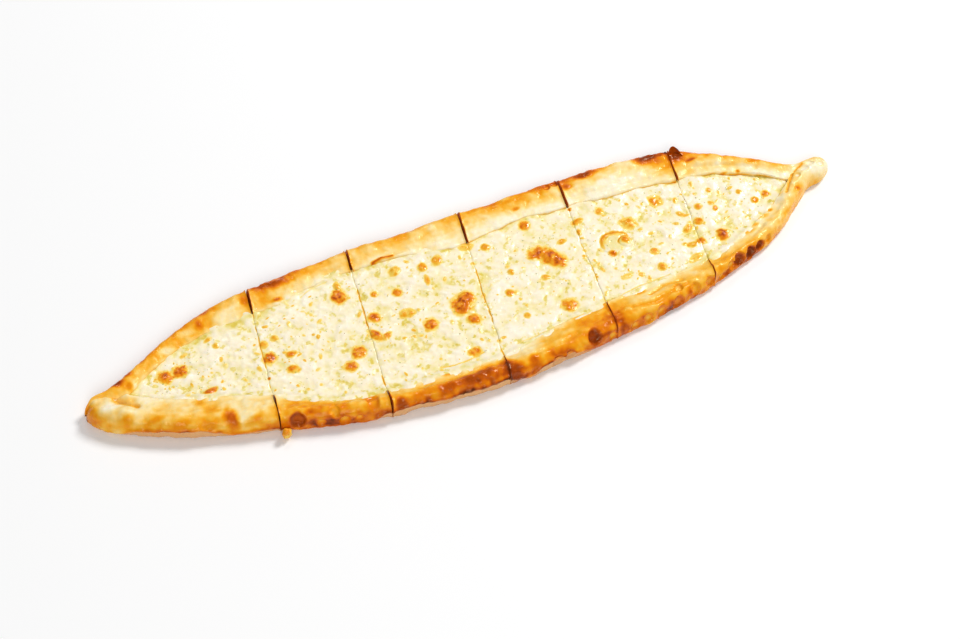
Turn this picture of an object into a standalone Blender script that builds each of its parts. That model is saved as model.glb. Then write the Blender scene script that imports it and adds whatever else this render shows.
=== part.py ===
"""A Turkish pide: a long boat of flat dough with its two sides folded over a cheese filling.

It is cut crosswise into six slices, which lie together in the shape of the whole. Each slice is
two solids: its dough, and the cheese that runs through it from cut to cut. The cheese lies on the
dough's floor and reaches a little way under the folded sides.

Frame: metres, +X along the length towards the slim end, +Y towards the side with the broad flat
fold, +Z up, and the origin in the middle of the underside.
"""

import bmesh
import bpy
import numpy as np
from mathutils import Matrix, Vector

# Every size below is in millimetres.
MM = 0.001

# The outline from above, at stations along the length. The two edges are the outsides of the dough,
# and the two lips are where each folded side ends on the cheese.
#     x    front edge, front lip, back lip, back edge
OUTLINE = np.array((
    (-271.5, -10.0, -4.0, -2.0, 6.5),
    (-255.0, -20.5, -4.0, 2.0, 8.5),
    (-240.0, -29.5, -5.0, 4.0, 15.0),
    (-220.0, -39.5, -13.0, 14.0, 26.5),
    (-200.0, -46.0, -19.0, 22.0, 37.5),
    (-160.0, -57.5, -33.0, 29.0, 51.0),
    (-125.0, -67.5, -51.0, 34.0, 54.5),
    (-100.0, -72.5, -57.0, 38.5, 58.0),
    (-50.0, -78.0, -61.0, 41.0, 60.0),
    (0.0, -80.0, -61.0, 34.0, 61.5),
    (50.0, -75.0, -50.0, 38.5, 62.0),
    (100.0, -68.5, -45.0, 36.0, 63.0),
    (150.0, -58.5, -41.0, 33.0, 61.5),
    (175.0, -50.5, -35.5, 29.5, 58.0),
    (200.0, -42.0, -24.0, 24.0, 46.0),
    (220.0, -31.5, -13.0, 16.0, 35.0),
    (240.0, -17.0, -2.0, 5.0, 22.0),
    (255.0, -5.5, 1.0, 5.0, 13.0),
    (266.0, -3.0, 2.0, 4.0, 13.0),
    (277.5, 2.0, 2.0, 4.0, 11.5),
))
FRONT_EDGE, FRONT_LIP, BACK_LIP, BACK_EDGE = 1, 2, 3, 4
TIPS = (OUTLINE[0, 0], OUTLINE[-1, 0])

# The height of each folded side's crest, at stations along the length.
#     x    front, back
CRESTS = np.array((
    (-271.5, 12.5, 12.5),
    (-250.0, 15.0, 13.5),
    (-190.0, 14.5, 12.5),
    (0.0, 14.0, 12.0),
    (180.0, 13.5, 12.5),
    (235.0, 14.0, 12.5),
    (277.5, 12.5, 12.5),
))
FRONT_CREST, BACK_CREST = 1, 2
# Puffed places on the back crest: x, half-length, rise.
BACK_PUFFS = ((-232.0, 9.0, 2.5), (-112.0, 14.0, 1.0), (176.0, 7.0, 4.5))

# The two sides of the dough, from under the edge up to the crest and down the fold: the distance in
# from the edge, and the height as a share of the crest's. The front is a roll, the back a flat fold.
FRONT_SIDE = (
    (5.5, 0.0),
    (1.5, 0.07),
    (0.0, 0.3),
    (0.8, 0.62),
    (3.4, 0.87),
    (8.5, 1.0),
    (15.0, 0.95),
    (22.0, 0.85),
)
BACK_SIDE = (
    (4.5, 0.0),
    (1.1, 0.08),
    (0.0, 0.35),
    (0.7, 0.68),
    (2.6, 0.9),
    (6.5, 1.0),
    (15.0, 0.96),
    (25.0, 0.88),
)
# Where the dough is narrower than twice this, its two sides are squeezed to fit.
FULL_SIDE_HALF_WIDTH = 25.0
# How far the hand-shaped edges waver.
WAVE = 0.8
# Each tip is rounded over this length, down to this share of its width, and lifts off the table.
TIP_ROUND = 11.0
TIP_LEAST = 0.25
TIP_LIFT = 3.0

# The knife cuts: x where each crosses the middle, its skew, and its gap at the front and the back.
CUTS = (
    (-152.0, 0.155, 1.0, 1.8),
    (-79.5, 0.155, 1.4, 1.8),
    (3.0, 0.17, 0.9, 2.2),
    (81.0, 0.14, 1.4, 2.4),
    (163.0, 0.185, 1.2, 1.8),
)
# The y, before and behind the middle, at which a cut's gap has its front and back widths.
GAP_HALF_SPAN = 60.0

# The hollow that the cheese lies in: its floor, its two ends, and how far it runs under the folds.
FLOOR = 4.2
HOLLOW_ENDS = (-243.0, 241.0)
HOLLOW_ROUND = 14.0
HOLLOW_LEAST = 0.2
TUCK = 7.0
TUCK_SHARE_OF_SIDE = 0.4
TUCK_WALL = 1.0
TUCK_HEIGHT = 6.2
LIP_HEIGHT = 8.0
# Above the folds' undersides the hollow opens between two noses, up past the top of the dough.
NOSE = 1.2
NOSE_SHARE_OF_OPENING = 0.3
NOSE_HEIGHT = 9.4
OPEN_TOP = 30.0
# The corner between the hollow's floor and its wall is cut off by this much.
CORNER = 1.5
# The hollow is cut this share of a slice's length past each knife cut, so that it opens there.
PAST_CUT = 0.04

# The cheese: its top, and how far it stays clear of the hollow's walls and ends.
CHEESE_TOP = 9.3
CHEESE_UNEVEN = 0.5
CHEESE_SHOULDER = 7.0
CHEESE_SHOULDER_DROP = 0.6
CLEARANCE = 0.3
END_CLEARANCE = 1.0
# It has sagged into the knife cuts, so that its gaps are narrower than the dough's by this much.
SAGGED = 0.6

# How many sections each slice has, for its dough and for its cheese.
TIP_DOUGH_SECTIONS = 18
DOUGH_SECTIONS = 12
CHEESE_SECTIONS = 12

# A drop of cheese that ran out at the first cut and set on the second slice's front.
DRIP_X = -158.5
DRIP_SIZE = (7.0, 6.0, 9.0)

DOUGH_COLOUR = (0.78, 0.47, 0.16, 1.0)
CHEESE_COLOUR = (0.93, 0.86, 0.66, 1.0)


def smooth_value(table, column, x):
    """The table's column at x, on a smooth curve through its stations."""
    stations, values = table[:, 0], table[:, column]
    slopes = np.gradient(values, stations)
    i = int(np.clip(np.searchsorted(stations, x) - 1, 0, len(stations) - 2))
    span = stations[i + 1] - stations[i]
    t = np.clip((x - stations[i]) / span, 0.0, 1.0)
    start = values[i] * (1 + 2 * t) + slopes[i] * span * t
    end = values[i + 1] * (3 - 2 * t) - slopes[i + 1] * span * (1 - t)
    return start * (1 - t) ** 2 + end * t**2


def cut_plane(cut, side, closed=0.0):
    """x as a function of y along a cut's left face (side -1) or right face (side 1).

    closed is how much narrower the gap is than the dough's, for the cheese that has sagged into it.
    """
    x, skew, gap_front, gap_back = cut

    def at(y):
        share = np.clip(0.5 + 0.5 * y / GAP_HALF_SPAN, 0.0, 1.0)
        gap = gap_front + (gap_back - gap_front) * share - closed
        return x + skew * y + side * gap / 2

    return at


def square_plane(x):
    """A plane square to the length, at a tip or at the end of the hollow."""
    return lambda y: x


def between(left, right, t):
    """The plane a share t of the way from left to right."""
    return lambda y: (1 - t) * left(y) + t * right(y)


def meeting(plane, column):
    """y where a skew plane meets one of the outline's curves."""
    y = 0.0
    for _ in range(8):
        y = smooth_value(OUTLINE, column, plane(y))
    return y


def crest(plane, column, y):
    """The height of the front or back crest where a plane passes through it."""
    x = plane(y)
    height = smooth_value(CRESTS, column, x)
    if column == BACK_CREST:
        height += sum(rise * np.exp(-(((x - at) / half) ** 2)) for at, half, rise in BACK_PUFFS)
    return height


def rounding(x, ends, reach, least):
    """1 along the body, falling over a quarter round to least at each of the two ends."""
    inside = min(x - ends[0], ends[1] - x)
    off = np.clip(1 - inside / reach, 0.0, 1.0)
    return max(np.sqrt(1 - off**2), least)


def wave(x, phase):
    """A slow unevenness along the hand-shaped edges, in millimetres."""
    return WAVE * (np.sin(x / 8.5 + phase) * np.sin(x / 23.0 + 2 * phase) + 0.4 * np.sin(x / 5.3 - phase))


def dough_ring(plane):
    """The closed outline of the dough's section, from the front's underside over the top to the back's."""
    front, back = meeting(plane, FRONT_EDGE), meeting(plane, BACK_EDGE)
    middle = (front + back) / 2
    end = rounding(plane(middle), TIPS, TIP_ROUND, TIP_LEAST)
    half = end * (back - front) / 2
    reach = min(1.0, half / FULL_SIDE_HALF_WIDTH)

    def side_points(side, column, edge, sign):
        swell = reach * wave(plane(edge), 1.0 + sign)
        height = crest(plane, column, edge) * end + 0.5 * swell
        lift = TIP_LIFT * (1 - end)
        return [(middle + sign * (half + swell - reach * d), lift + height * share) for d, share in side]

    points = side_points(FRONT_SIDE, FRONT_CREST, front, -1)
    points += side_points(BACK_SIDE, BACK_CREST, back, 1)[::-1]
    return [(plane(y), y, z) for y, z in points]


def hollow_limits(plane, inset):
    """The two lips and how far the hollow reaches under each of them, all narrowed to its two ends."""
    front_lip, back_lip = meeting(plane, FRONT_LIP), meeting(plane, BACK_LIP)
    middle = (front_lip + back_lip) / 2
    ends = (HOLLOW_ENDS[0] + inset, HOLLOW_ENDS[1] - inset)
    end = rounding(plane(middle), ends, HOLLOW_ROUND, HOLLOW_LEAST)
    half = end * (back_lip - front_lip) / 2
    front_tuck = end * min(TUCK, TUCK_SHARE_OF_SIDE * (front_lip - meeting(plane, FRONT_EDGE)))
    back_tuck = end * min(TUCK, TUCK_SHARE_OF_SIDE * (meeting(plane, BACK_EDGE) - back_lip))
    return middle - half, middle + half, front_tuck, back_tuck


def hollow_ring(plane):
    """The section of the hollow: wide below the folded sides, and open above between their lips."""
    front_lip, back_lip, front_tuck, back_tuck = hollow_limits(plane, 0.0)
    nose = min(NOSE, NOSE_SHARE_OF_OPENING * (back_lip - front_lip))

    def half(lip, tuck, sign):
        return [
            (lip + sign * (tuck - CORNER), FLOOR),
            (lip + sign * tuck, FLOOR + TUCK_WALL),
            (lip + sign * (tuck - CORNER / 2), TUCK_HEIGHT),
            (lip, LIP_HEIGHT),
            (lip - sign * nose, NOSE_HEIGHT),
            (lip - sign * nose, OPEN_TOP),
        ]

    points = half(front_lip, front_tuck, -1) + half(back_lip, back_tuck, 1)[::-1]
    return [(plane(y), y, z) for y, z in points]


def cheese_ring(plane):
    """The section of the cheese: it fills the hollow and domes a little between the lips."""
    front_lip, back_lip, front_tuck, back_tuck = hollow_limits(plane, END_CLEARANCE)
    width = back_lip - front_lip
    slope = min(CHEESE_SHOULDER, NOSE_SHARE_OF_OPENING * width)
    under = 1.5 * CLEARANCE

    def half(lip, tuck, sign):
        return [
            (lip + sign * (tuck - CORNER - CLEARANCE), FLOOR + CLEARANCE),
            (lip + sign * (tuck - CLEARANCE), FLOOR + TUCK_WALL + CLEARANCE),
            (lip + sign * (tuck - CORNER - CLEARANCE), TUCK_HEIGHT - under),
            (lip - sign * CLEARANCE, LIP_HEIGHT - under),
            (lip - sign * slope, CHEESE_TOP - CHEESE_SHOULDER_DROP),
        ]

    def top(y):
        x = plane(y)
        return CHEESE_TOP + CHEESE_UNEVEN * np.sin(x / 7.3 + y / 19.0) * np.cos(y / 9.1 - x / 31.0)

    inner = [front_lip + slope + share * (width - 2 * slope) for share in (0.2, 0.4, 0.6, 0.8)]
    points = half(front_lip, front_tuck, -1) + [(y, top(y)) for y in inner]
    points += half(back_lip, back_tuck, 1)[::-1]
    return [(plane(y), y, z) for y, z in points]


def loft(name, rings, colour, collection):
    """One closed mesh through rings of equal count, each an outline in its own plane."""
    bm = bmesh.new()
    rows = [[bm.verts.new(Vector(point) * MM) for point in ring] for ring in rings]
    count = len(rows[0])
    for row, following in zip(rows, rows[1:]):
        for i in range(count):
            j = (i + 1) % count
            bm.faces.new((row[i], row[j], following[j], following[i]))
    bm.faces.new(rows[0][::-1])
    bm.faces.new(rows[-1])
    bmesh.ops.recalc_face_normals(bm, faces=bm.faces)
    mesh = bpy.data.meshes.new(name)
    bm.to_mesh(mesh)
    bm.free()
    return link(name, mesh, colour, collection)


def link(name, mesh, colour, collection):
    """An object with its own material, smooth shaded, in a collection."""
    mesh.shade_smooth()
    mesh.set_sharp_from_angle(angle=np.radians(40))
    if colour is not None:
        mesh.materials.append(principled(name, colour))
    made = bpy.data.objects.new(name, mesh)
    collection.objects.link(made)
    return made


def principled(name, colour):
    material = bpy.data.materials.new(name)
    material.use_nodes = True
    shader = material.node_tree.nodes["Principled BSDF"]
    shader.inputs["Base Color"].default_value = colour
    shader.inputs["Roughness"].default_value = 0.45
    shader.inputs["Metallic"].default_value = 0.0
    return material


def crowded(count, left_tip, right_tip):
    """Shares from 0 to 1, closer together towards an end that is a tip."""
    t = np.linspace(0.0, 1.0, count)
    if left_tip:
        return 1 - np.cos(t * np.pi / 2)
    if right_tip:
        return np.sin(t * np.pi / 2)
    return t


def make_slice(number, parts, cutters):
    """The dough and the cheese of one slice, counted from the left tip."""
    first, last = number == 1, number == len(CUTS) + 1

    def planes(shares, ends, closed=0.0):
        left = square_plane(ends[0]) if first else cut_plane(CUTS[number - 2], 1, closed)
        right = square_plane(ends[1]) if last else cut_plane(CUTS[number - 1], -1, closed)
        return [between(left, right, share) for share in shares]

    dough_shares = crowded(TIP_DOUGH_SECTIONS if first or last else DOUGH_SECTIONS, first, last)
    dough_rings = [dough_ring(plane) for plane in planes(dough_shares, TIPS)]
    dough = loft(f"dough_{number}", dough_rings, DOUGH_COLOUR, parts)

    shares = crowded(CHEESE_SECTIONS, first, last)
    before = [] if first else [-PAST_CUT]
    beyond = [] if last else [1 + PAST_CUT]
    past_cuts = [*before, *shares, *beyond]
    hollow_rings = [hollow_ring(plane) for plane in planes(past_cuts, HOLLOW_ENDS)]
    hollow = loft(f"hollow_{number}", hollow_rings, None, cutters)
    hollow.hide_render = True
    hollow.display_type = "WIRE"
    cut = dough.modifiers.new("hollow", "BOOLEAN")
    cut.operation = "DIFFERENCE"
    cut.object = hollow

    cheese_ends = (HOLLOW_ENDS[0] + END_CLEARANCE, HOLLOW_ENDS[1] - END_CLEARANCE)
    cheese_rings = [cheese_ring(plane) for plane in planes(shares, cheese_ends, SAGGED)]
    loft(f"cheese_{number}", cheese_rings, CHEESE_COLOUR, parts)


def make_drip(parts):
    """The set drop of cheese, standing against the dough's front wall."""
    length, depth, height = DRIP_SIZE
    wall = smooth_value(OUTLINE, FRONT_EDGE, DRIP_X)
    bm = bmesh.new()
    bmesh.ops.create_uvsphere(bm, u_segments=14, v_segments=8, radius=0.5)
    bmesh.ops.scale(bm, vec=Vector((length, depth, height)) * MM, verts=bm.verts)
    centre = Vector((DRIP_X, wall - depth / 2 - 3 * CLEARANCE, height / 2)) * MM
    bmesh.ops.translate(bm, vec=centre, verts=bm.verts)
    mesh = bpy.data.meshes.new("cheese_drip")
    bm.to_mesh(mesh)
    bm.free()
    link("cheese_drip", mesh, CHEESE_COLOUR, parts)


def centre_on_origin(parts, cutters):
    """Moves everything so that the whole stands on the origin."""
    corners = []
    graph = bpy.context.evaluated_depsgraph_get()
    for made in parts.objects:
        corners += [Vector(corner) for corner in made.evaluated_get(graph).bound_box]
    low = Vector(map(min, *corners))
    high = Vector(map(max, *corners))
    shift = Vector((-(low.x + high.x) / 2, -(low.y + high.y) / 2, -low.z))
    for made in [*parts.objects, *cutters.objects]:
        made.data.transform(Matrix.Translation(shift))


def main():
    for old in list(bpy.data.objects):
        bpy.data.objects.remove(old)
    parts = bpy.data.collections.new("pide")
    cutters = bpy.data.collections.new("pide_cutters")
    for collection in (parts, cutters):
        bpy.context.scene.collection.children.link(collection)
    for number in range(1, len(CUTS) + 2):
        make_slice(number, parts, cutters)
    make_drip(parts)
    centre_on_origin(parts, cutters)


main()
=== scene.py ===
"""The looks of the Turkish pide: glossy folded dough, melted cheese with toasted spots, and herbs.

Lengths are in millimetres in the pide's own frame, whose x runs from tip to tip and whose y runs
from front to back, until a mesh is made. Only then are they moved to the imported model's frame, in
metres.
"""

import bpy
import numpy as np
from mathutils import Euler, Matrix, Vector


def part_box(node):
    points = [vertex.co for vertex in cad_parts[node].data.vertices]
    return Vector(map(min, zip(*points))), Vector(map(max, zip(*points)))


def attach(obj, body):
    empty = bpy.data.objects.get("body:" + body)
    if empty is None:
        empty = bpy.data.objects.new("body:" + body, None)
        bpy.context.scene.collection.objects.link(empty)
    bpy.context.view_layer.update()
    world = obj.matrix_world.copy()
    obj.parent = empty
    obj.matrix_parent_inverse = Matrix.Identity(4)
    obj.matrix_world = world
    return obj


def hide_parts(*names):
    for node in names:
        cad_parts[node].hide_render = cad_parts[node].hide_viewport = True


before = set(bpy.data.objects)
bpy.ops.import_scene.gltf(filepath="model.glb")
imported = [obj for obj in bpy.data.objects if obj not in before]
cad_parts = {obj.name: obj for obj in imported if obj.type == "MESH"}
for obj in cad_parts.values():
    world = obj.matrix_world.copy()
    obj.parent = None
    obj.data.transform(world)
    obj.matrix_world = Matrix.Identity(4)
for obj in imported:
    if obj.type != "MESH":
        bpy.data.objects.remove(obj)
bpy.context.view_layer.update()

MM = 0.001
# What moves the pide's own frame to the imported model's, which has its origin under the box's middle.
TO_PACKED_FRAME = np.array((-3.0, 8.57, 0.0))
SLICES = 6

# ---------------------------------------------------------------------------------------------
# The plan of the pide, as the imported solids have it.

#     x    front edge, front lip, back lip, back edge
OUTLINE = np.array((
    (-271.5, -10, -4, -2, 6.5),
    (-255, -20.5, -4, 2, 8.5),
    (-240, -29.5, -5, 4, 15),
    (-220, -39.5, -13, 14, 26.5),
    (-200, -46, -19, 22, 37.5),
    (-160, -57.5, -33, 29, 51),
    (-125, -67.5, -51, 34, 54.5),
    (-100, -72.5, -57, 38.5, 58),
    (-50, -78, -61, 41, 60),
    (0, -80, -61, 34, 61.5),
    (50, -75, -50, 38.5, 62),
    (100, -68.5, -45, 36, 63),
    (150, -58.5, -41, 33, 61.5),
    (175, -50.5, -35.5, 29.5, 58),
    (200, -42, -24, 24, 46),
    (220, -31.5, -13, 16, 35),
    (240, -17, -2, 5, 22),
    (255, -5.5, 1, 5, 13),
    (266, -3, 2, 4, 13),
    (277.5, 2, 2, 4, 11.5),
))
FRONT_EDGE, FRONT_LIP, BACK_LIP, BACK_EDGE = 1, 2, 3, 4
TIPS = (OUTLINE[0, 0], OUTLINE[-1, 0])

# x where each cut crosses the middle, its skew, and its gap at the front and the back.
CUTS = (
    (-152, 0.155, 1, 1.8),
    (-79.5, 0.155, 1.4, 1.8),
    (3, 0.17, 0.9, 2.2),
    (81, 0.14, 1.4, 2.4),
    (163, 0.185, 1.2, 1.8),
)
# How far from the middle the cuts reach those gaps.
GAP_HALF_SPAN = 60.0
# Between these heights a cut through the dough closes to its foot, over this length beside it.
CUT_CLOSES = (9.5, 4.5)
CUT_CLOSES_OVER = 2.0
# How wide the cuts through the dough still are at the bottom, and the cuts through the cheese,
# which has sagged almost shut.
CUT_FOOT = 0.3
CHEESE_GAP = 0.12
# How strongly the cheese is browned along each cut: partly brown juice in the seam, partly painted shade
# where the cut has sagged shut.
CUT_JUICE_AND_SHADE = (0.8, 1.0, 0.9, 0.7, 0.35)

#     x    front crest, front lip, back crest, back lip: heights
HEIGHTS = np.array((
    (-271.5, 12.5, 11, 12.5, 11),
    (-250, 15, 11.5, 13, 11),
    (-190, 14.5, 10.8, 12.5, 10.6),
    (0, 14, 10.6, 12, 10.6),
    (180, 13.5, 10.6, 12.5, 10.8),
    (235, 14, 11.5, 12.5, 11),
    (277.5, 12.5, 11, 12.5, 11),
))
# y of the seam where the two sides meet beyond the hollow's ends.
SEAM = np.array((
    (-271.5, 5),
    (-265, 5),
    (-257, 2.5),
    (-251, -1.6),
    (-243, -1.2),
    (-229, -1),
    (226, -2),
    (241, 1.2),
    (246, 4),
    (252, 7.4),
    (258, 10.4),
    (277.5, 10.6),
))
# The hollow that holds the cheese: the height of its floor, its ends, over what length it narrows
# towards them, and how far it runs in under each fold.
FLOOR = 4.2
HOLLOW_ENDS = (-243.0, 241.0)
HOLLOW_ROUND = 14.0
TUCK = 7.0
# Over what length the tips are rounded, and the share of the width that is left at the very end.
TIP_ROUND = 11.0
TIP_LEAST = 0.12
# The share of the height that would be left where no width is.
TIP_HEIGHT = 0.35

# The steps of the two kinds of mesh, and the points across the hollow's floor and the underside.
CRUST_STEP = 0.6
CHEESE_STEP = 0.5
FLOOR_POINTS = 18
BOTTOM_POINTS = 24
# How much closer the rings stand towards a tip, and how often their meeting with a curve of the
# outline is worked out anew.
CROWDING = 0.4
MEETING_ROUNDS = 8


def smooth_value(table, column, x):
    """The table's column at every x, on a smooth curve through its stations."""
    stations, values = table[:, 0], table[:, column]
    slopes = np.gradient(values, stations)
    i = np.clip(np.searchsorted(stations, x) - 1, 0, len(stations) - 2)
    span = stations[i + 1] - stations[i]
    t = np.clip((x - stations[i]) / span, 0.0, 1.0)
    start = values[i] * (1 + 2 * t) + slopes[i] * span * t
    end = values[i + 1] * (3 - 2 * t) - slopes[i + 1] * span * (1 - t)
    return start * (1 - t) ** 2 + end * t**2


def steady_value(table, column, x):
    """The table's column at every x, on straight lines between its stations."""
    return np.interp(x, table[:, 0], table[:, column])


def half_gap(cut, y):
    """Half the width of a cut through the dough, at every y."""
    gap_front, gap_back = cut[2:]
    share = np.clip(0.5 + 0.5 * y / GAP_HALF_SPAN, 0.0, 1.0)
    return (gap_front + (gap_back - gap_front) * share) / 2


def cut_plane(cut, side):
    """x along one face of a cut through the dough, as a function of y."""
    x, skew = cut[:2]
    return lambda y: x + skew * y + side * half_gap(cut, y)


def sagged_plane(cut, side):
    """x along one face of a cut through the cheese, which has sagged almost shut."""
    x, skew = cut[:2]
    return lambda y: x + skew * y + side * CHEESE_GAP / 2


def slice_planes(number, ends, plane):
    """The left and right end faces of a slice, each a function from y to x."""
    left = plane(CUTS[number - 2], 1) if number > 1 else lambda y: ends[0] + 0 * y
    right = plane(CUTS[number - 1], -1) if number < SLICES else lambda y: ends[1] + 0 * y
    return left, right


def place(planes, share, y):
    """x at a share of the way from the left end face to the right one."""
    left, right = planes
    return (1 - share) * left(y) + share * right(y)


def ring_points(planes, share, y, z):
    """Points with the given y and z on the planes that the rings lie in."""
    return np.stack((place(planes, share[:, None], y), y, z), axis=-1)


def between(start, stop, count):
    """Even steps from one value to another for every ring, without the two values."""
    steps = np.linspace(0.0, 1.0, count + 2)[1:-1]
    return start[:, None] + (stop - start)[:, None] * steps


def meeting(planes, share, column):
    """y where each plane between the slice's ends meets one of the outline's curves."""
    y = np.zeros_like(share)
    for _ in range(MEETING_ROUNDS):
        y = smooth_value(OUTLINE, column, place(planes, share, y))
    return y


def shares_along(number, planes, step):
    """How far along the slice each ring stands, from 0 to 1, crowded towards a tip."""
    count = int((planes[1](0.0) - planes[0](0.0)) / step)
    t = np.linspace(0.0, 1.0, count)
    if number == 1:
        return (1 - CROWDING) * t + CROWDING * (1 - np.cos(t * np.pi / 2))
    if number == SLICES:
        return (1 - CROWDING) * t + CROWDING * np.sin(t * np.pi / 2)
    return t


def from_cuts(number, planes, share):
    """How far each ring is from the cut on its left and from the cut on its right."""
    length = planes[1](0.0) - planes[0](0.0)
    left = share * length if number > 1 else np.full_like(share, length)
    right = (1 - share) * length if number < SLICES else np.full_like(share, length)
    return left, right


def quarter_round(x, ends, reach):
    """1 along the body, falling over a quarter round to 0 at each end."""
    inside = np.minimum(x - ends[0], ends[1] - x)
    off = np.clip(1 - inside / reach, 0.0, 1.0)
    return np.sqrt(1 - off**2)


def beside_path(points, path):
    """How far each point is, in plan, from a line through a few places."""
    nearest = np.full(points.shape[:-1], np.inf)
    for (ax, ay), (bx, by) in zip(path, path[1:]):
        run = np.array((bx - ax, by - ay))
        offset = points[..., :2] - np.array((ax, ay))
        t = np.clip(offset @ run / (run @ run), 0.0, 1.0)
        nearest = np.minimum(nearest, np.linalg.norm(offset - t[..., None] * run, axis=-1))
    return nearest


# ---------------------------------------------------------------------------------------------
# Noise

NOISE_TURN = np.array(Euler((0.5, 0.7, 0.9)).to_matrix())


def lattice_noise(points, size, seed):
    """Smooth noise from -1 to 1 at each point, with lumps of about the given size."""
    cells = 32
    values = np.random.default_rng(seed).random((cells, cells, cells)) * 2 - 1
    q = points @ NOISE_TURN.T / size + 100.5
    base = np.floor(q).astype(int)
    f = q - base
    f = f * f * (3 - 2 * f)
    total = np.zeros(points.shape[:-1])
    for corner in np.ndindex(2, 2, 2):
        nearness = [f[..., k] if corner[k] else 1 - f[..., k] for k in range(3)]
        cell = tuple((base[..., k] + corner[k]) % cells for k in range(3))
        total += nearness[0] * nearness[1] * nearness[2] * values[cell]
    return total


def layered_noise(points, size, seed, octaves):
    """Noise with finer layers on top, each half the size and half the strength."""
    total = np.zeros(points.shape[:-1])
    for octave in range(octaves):
        total += lattice_noise(points, size / 2**octave, seed + octave) / 2**octave
    return total / (2 - 0.5 ** (octaves - 1))


def creased_noise(points, size, seed):
    """Noise from -1 to 1 with rounded lumps between sharp creases."""
    return 2 * np.abs(lattice_noise(points, size, seed)) ** 0.7 - 1


def step_between(low, high, value):
    """0 below low, 1 above high, smooth between. high may be the smaller one."""
    t = np.clip((value - low) / (high - low), 0.0, 1.0)
    return t * t * (3 - 2 * t)


def bell(distance, width):
    """1 at no distance, falling smoothly to 0 over about twice the width."""
    return np.exp(-((distance / width) ** 2))


# ---------------------------------------------------------------------------------------------
# Grids of points made into meshes


def grid_normals(points):
    """The normals of a grid whose rows are closed rings."""
    along = np.gradient(points, axis=0)
    around = np.roll(points, -1, axis=1) - np.roll(points, 1, axis=1)
    normals = np.cross(around, along)
    return normals / np.maximum(np.linalg.norm(normals, axis=2, keepdims=True), 1e-9)


def mesh_object(name, points, faces, materials):
    """A smooth mesh object from points in millimetres in the pide's frame."""
    mesh = bpy.data.meshes.new(name)
    mesh.from_pydata(((points + TO_PACKED_FRAME) * MM).tolist(), [], faces)
    for material in materials:
        mesh.materials.append(material)
    mesh.shade_smooth()
    made = bpy.data.objects.new(name, mesh)
    bpy.context.scene.collection.objects.link(made)
    return made


def ring_mesh(name, points, attributes, materials, cap_material=0):
    """A closed mesh through rings of points, with a flat face on each end and named point values."""
    rings, around = points.shape[:2]
    index = np.arange(rings * around).reshape(rings, around)
    following = np.roll(index, -1, axis=1)
    quads = np.stack((index[:-1], index[1:], following[1:], following[:-1]), axis=-1).reshape(-1, 4)
    faces = quads.tolist() + [index[0].tolist(), index[-1][::-1].tolist()]
    made = mesh_object(name, points.reshape(-1, 3), faces, materials)
    mesh = made.data
    mesh.polygons[len(quads)].material_index = cap_material
    mesh.polygons[len(quads) + 1].material_index = cap_material
    for key, values in attributes.items():
        layer = mesh.attributes.new(key, "FLOAT", "POINT")
        layer.data.foreach_set("value", np.clip(values, 0, 1).ravel().astype(np.float32))
    mesh.set_sharp_from_angle(angle=np.radians(70))
    return made


def stand_for(made, slot, *nodes):
    """The piece rides with the pide and replaces the nodes; the slot is not used."""
    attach(made, "root")
    if nodes:
        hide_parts(*nodes)


def hermite_weights(knots, samples):
    """The matrix that turns values at knots into values at samples, on a smooth curve."""
    unit = np.eye(len(knots))
    table = np.concatenate((np.array(knots)[:, None], unit), axis=1)
    return np.stack([smooth_value(table, 1 + k, samples) for k in range(len(knots))], axis=1)


# ---------------------------------------------------------------------------------------------
# Dough

# One side of the dough from its underside round to the lip: the share of the way along the curve,
# the distance in from the edge, the distance in as a share of the fold's width, and the height as
# a share of the crest's and of the lip's.
FRONT_SIDE = np.array((
    (0, 5.5, 0, 0, 0),
    (0.07, 2.2, 0, 0.012, 0),
    (0.13, 0.6, 0, 0.1, 0),
    (0.2, 0, 0, 0.3, 0),
    (0.29, 0.5, 0, 0.57, 0),
    (0.38, 2.3, 0, 0.82, 0),
    (0.47, 5.3, 0, 0.96, 0),
    (0.56, 8.8, 0, 1, 0),
    (0.7, 4.4, 0.45, 0.72, 0.22),
    (0.84, 1, 0.82, 0.28, 0.68),
    (0.95, 0, 0.98, 0, 0.97),
    (1, 0, 1, 0, 0.84),
))
BACK_SIDE = np.array((
    (0, 4.5, 0, 0, 0),
    (0.06, 1.8, 0, 0.02, 0),
    (0.11, 0.5, 0, 0.12, 0),
    (0.18, 0, 0, 0.35, 0),
    (0.25, 0.4, 0, 0.62, 0),
    (0.33, 1.8, 0, 0.87, 0),
    (0.41, 4.4, 0, 0.98, 0),
    (0.5, 7.5, 0, 1, 0),
    (0.66, 3.4, 0.45, 0.8, 0.17),
    (0.82, 1, 0.8, 0.36, 0.62),
    (0.95, 0, 0.98, 0, 0.98),
    (1, 0, 1, 0, 0.84),
))
SIDE_LENGTH = 44.0
# A fold narrower than this has its distances in from the edge drawn in with it.
WIDE_FOLD = 20.0
# How far the two lips waver from the outline.
LIP_WAVER = 1.9
# Beyond the hollow the two sides meet: how far each runs past the seam, and how far it dips there,
# as a share of the crest's height.
SEAM_OVERLAP = 1.0
SEAM_DIP = 0.14
# The hollow's wall under the fold: the share of the tuck, and of the height from the floor to the
# lip's underside, which is itself a share of the lip's height.
UNDER_FOLD = ((0.0, 1.0), (0.45, 0.72), (0.85, 0.5), (1.0, 0.18), (0.8, 0.0))
LIP_UNDERSIDE = 0.84

# How baked the dough is, from 0, pale, to 1, burnt, at these shares of the way along each side.
BAKE_PLACES = (0.0, 0.22, 0.48, 0.76, 1.0)
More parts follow.
